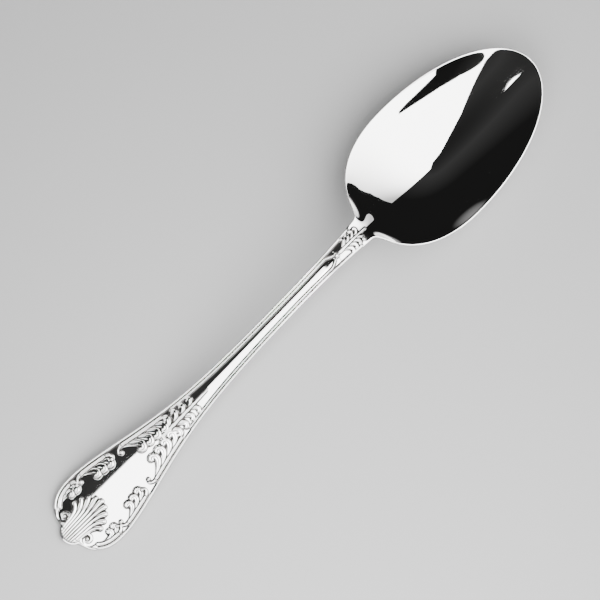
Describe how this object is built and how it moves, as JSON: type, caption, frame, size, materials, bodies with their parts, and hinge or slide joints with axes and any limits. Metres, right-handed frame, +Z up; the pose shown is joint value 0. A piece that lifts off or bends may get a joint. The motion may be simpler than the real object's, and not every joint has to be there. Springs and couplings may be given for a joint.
{
  "type": "tablespoon",
  "caption": "Polished silver-plated tablespoon with an egg-shaped bowl and a handle with threaded edges, leaf and scroll ornament and a fluted shell at the tip",
  "frame": {"origin": "Middle of the spoon's length and width, on the table that it lies on", "axes": "+X from the handle's tip to the bowl's tip, +Y across the spoon, +Z up out of the bowl"},
  "size_m": [0.205, 0.0434, 0.018],
  "materials": {
    "bowl_silver": "mirror-polished silver plate",
    "handle_silver": "polished silver plate",
    "ornament_silver": "polished silver plate, darker in the recesses"
  },
  "bodies": {
    "root": {"bowl": "bowl_silver", "handle": "handle_silver", "left_outer_thread": "ornament_silver", "right_outer_thread": "ornament_silver", "left_inner_thread": "ornament_silver", "right_inner_thread": "ornament_silver", "tip_shell": "ornament_silver", "left_tip_scroll": "ornament_silver", "right_tip_scroll": "ornament_silver", "left_side_scroll": "ornament_silver", "right_side_scroll": "ornament_silver", "left_shoulder_scroll": "ornament_silver", "right_shoulder_scroll": "ornament_silver", "shoulder_leaf": "ornament_silver", "neck_bead": "ornament_silver", "neck_leaf": "ornament_silver"}
  },
  "joints": []
}
